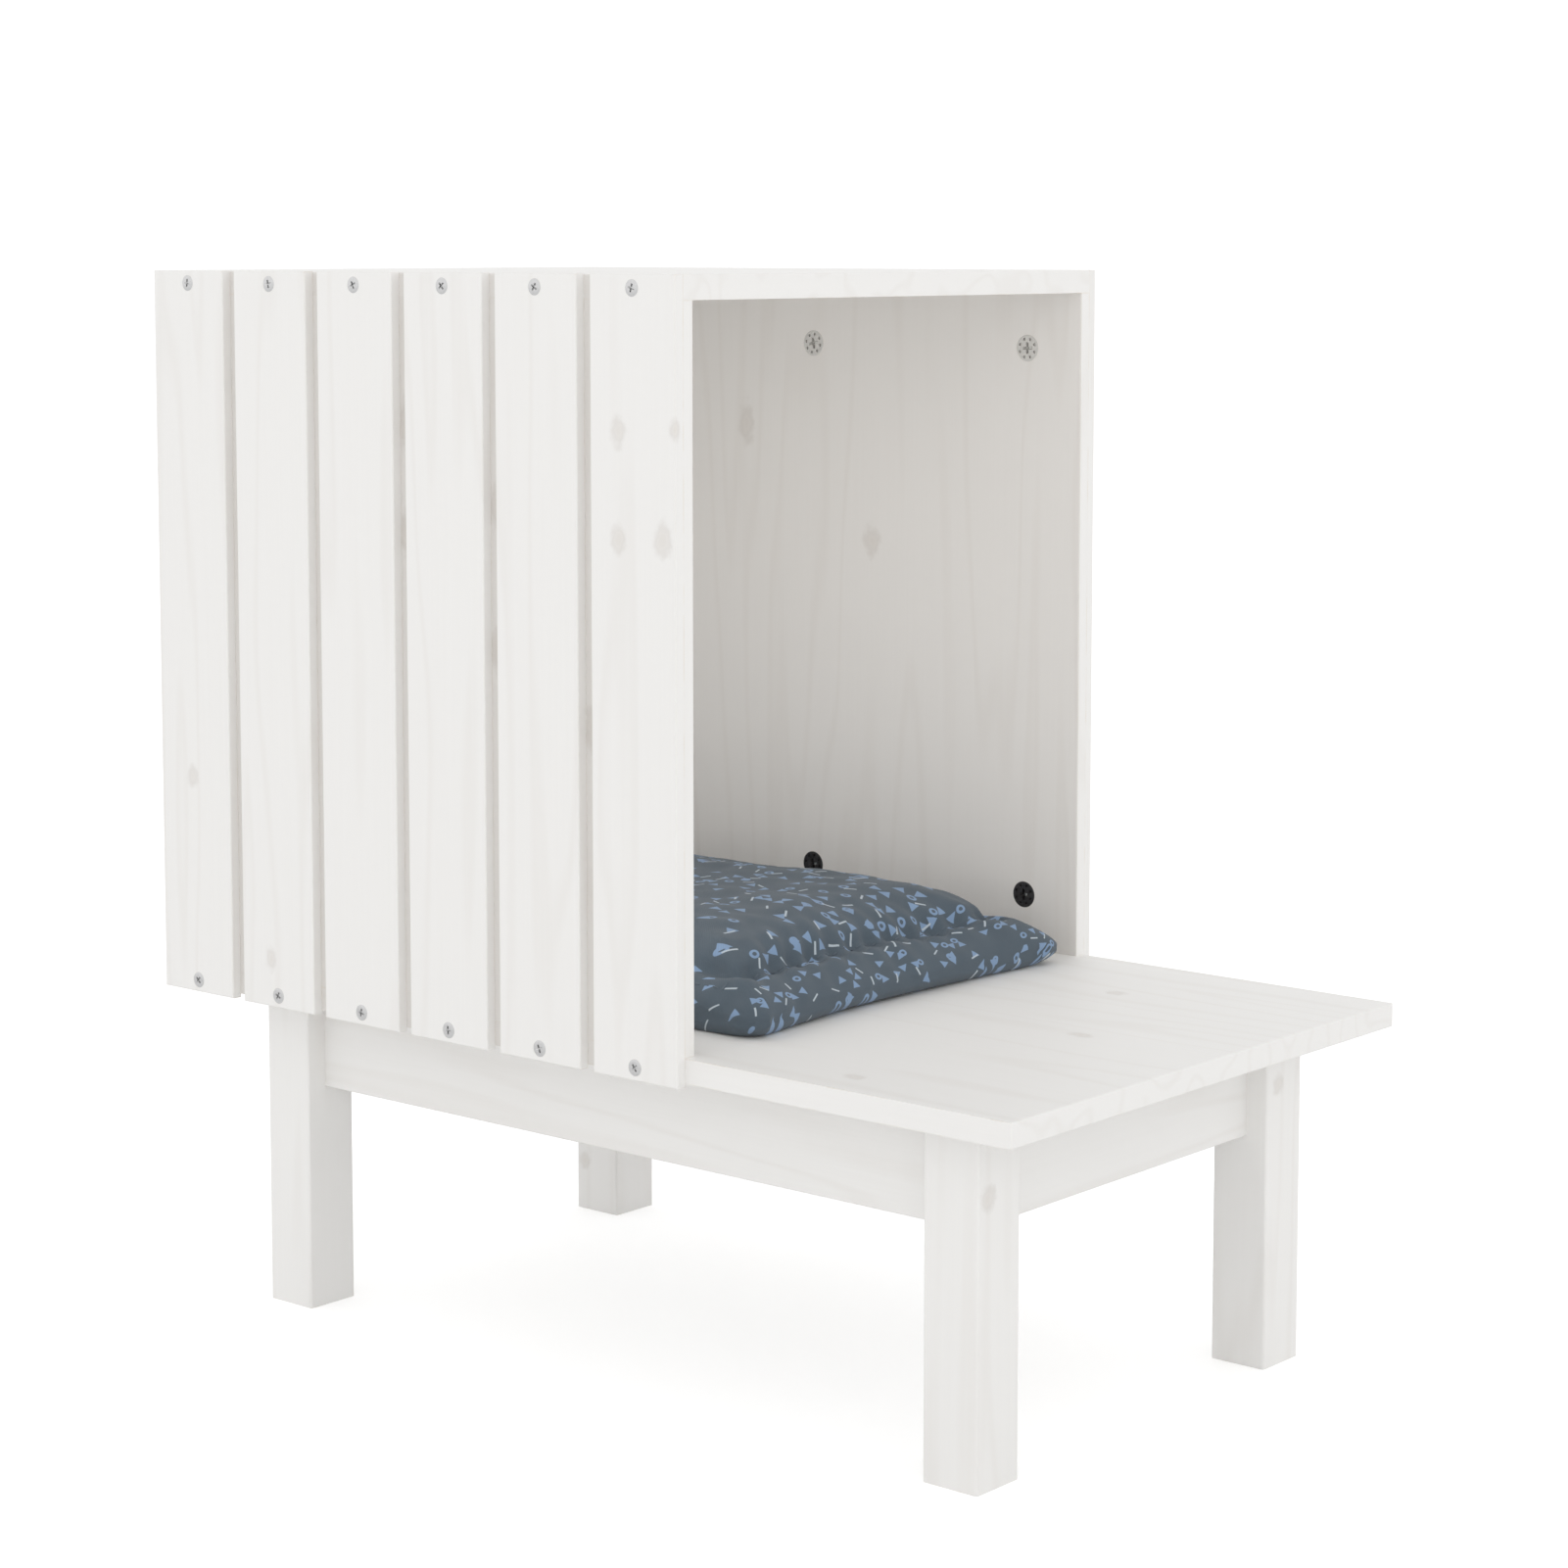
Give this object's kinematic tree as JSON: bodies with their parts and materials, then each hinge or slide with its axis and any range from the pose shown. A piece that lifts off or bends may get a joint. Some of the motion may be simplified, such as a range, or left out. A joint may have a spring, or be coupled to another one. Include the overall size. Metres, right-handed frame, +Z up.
{
  "type": "cat house",
  "caption": "White-glazed pine cat house: slatted side walls, a cabin open at the front, a board porch, a stand of square legs and rails, and a loose padded cushion.",
  "frame": {"origin": "on the floor, under the centre of the overall box", "axes": "+X across the doorway to the right seen from the front, -Y towards the porch, +Z up"},
  "size_m": [0.36, 0.603, 0.595],
  "materials": {
    "glazed_pine_boards": "white glaze over pine, satin",
    "glazed_pine_slats": "white glaze over pine, satin",
    "glazed_pine_stand": "white glaze over pine, satin",
    "screw_steel": "zinc-plated, bright",
    "cam_zinc": "die-cast zinc, dull",
    "bolt_steel": "zinc-plated",
    "cushion_fabric": "woven cotton, slate blue with a small scattered print"
  },
  "bodies": {
    "house": {"top_panel": "glazed_pine_boards", "platform": "glazed_pine_boards", "back_panel": "glazed_pine_boards", "side_panel_left": "glazed_pine_boards", "side_panel_right": "glazed_pine_boards", "slat_left_1": "glazed_pine_slats", "slat_left_2": "glazed_pine_slats", "slat_left_3": "glazed_pine_slats", "slat_left_4": "glazed_pine_slats", "slat_left_5": "glazed_pine_slats", "slat_left_6": "glazed_pine_slats", "slat_right_1": "glazed_pine_slats", "slat_right_2": "glazed_pine_slats", "slat_right_3": "glazed_pine_slats", "slat_right_4": "glazed_pine_slats", "slat_right_5": "glazed_pine_slats", "slat_right_6": "glazed_pine_slats", "leg_front_left": "glazed_pine_stand", "leg_rear_left": "glazed_pine_stand", "leg_front_right": "glazed_pine_stand", "leg_rear_right": "glazed_pine_stand", "rail_left": "glazed_pine_stand", "rail_right": "glazed_pine_stand", "rail_front": "glazed_pine_stand", "rail_rear": "glazed_pine_stand", "slat_screws_left": "screw_steel", "slat_screws_right": "screw_steel", "wall_cams_left": "cam_zinc", "wall_cams_right": "cam_zinc", "platform_cams": "cam_zinc", "wall_bolts_left": "bolt_steel", "wall_bolts_right": "bolt_steel", "platform_bolts": "bolt_steel"},
    "cushion": {"cushion": "cushion_fabric"}
  },
  "joints": [
    {"name": "cushion_slide", "type": "slide", "parent": "house", "child": "cushion", "axis": [0, -1, 0], "range_m": [0, 0.37]}
  ]
}
